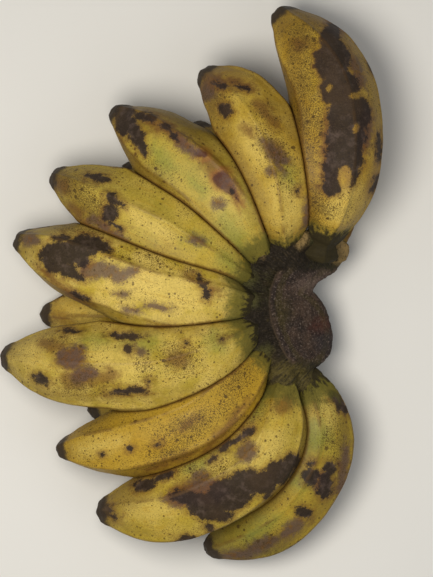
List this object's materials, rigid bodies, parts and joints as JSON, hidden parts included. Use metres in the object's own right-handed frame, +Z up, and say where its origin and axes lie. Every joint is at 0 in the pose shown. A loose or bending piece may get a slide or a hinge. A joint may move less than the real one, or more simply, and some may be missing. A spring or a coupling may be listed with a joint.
{
  "type": "hand of bananas",
  "caption": "Hand of short, thick, ridged cooking bananas on a cut crown, lying convex side up, with bruised yellow peel.",
  "frame": {"origin": "on the table, under the middle of the hand's own box", "axes": "+Z up from the table, +X from the fruits' tips towards the crown and its cut face, +Y along the longest side, towards the longest fruit"},
  "size_m": [0.2098, 0.3066, 0.0832],
  "materials": {
    "peel": "thin satin banana peel, ripe yellow with olive patches, brown freckles and purple-black bruises",
    "crown": "dark brown dried crown, fibrous where the knife cut it"
  },
  "bodies": {
    "root": {"crown": "crown", "banana_outer_1": "peel", "banana_outer_2": "peel", "banana_outer_3": "peel", "banana_outer_4": "peel", "banana_outer_5": "peel", "banana_outer_6": "peel", "banana_outer_7": "peel", "banana_outer_8": "peel", "banana_outer_9": "peel", "banana_inner_1": "peel", "banana_inner_2": "peel", "banana_inner_3": "peel", "banana_inner_4": "peel", "banana_inner_5": "peel", "banana_inner_6": "peel"}
  },
  "joints": []
}
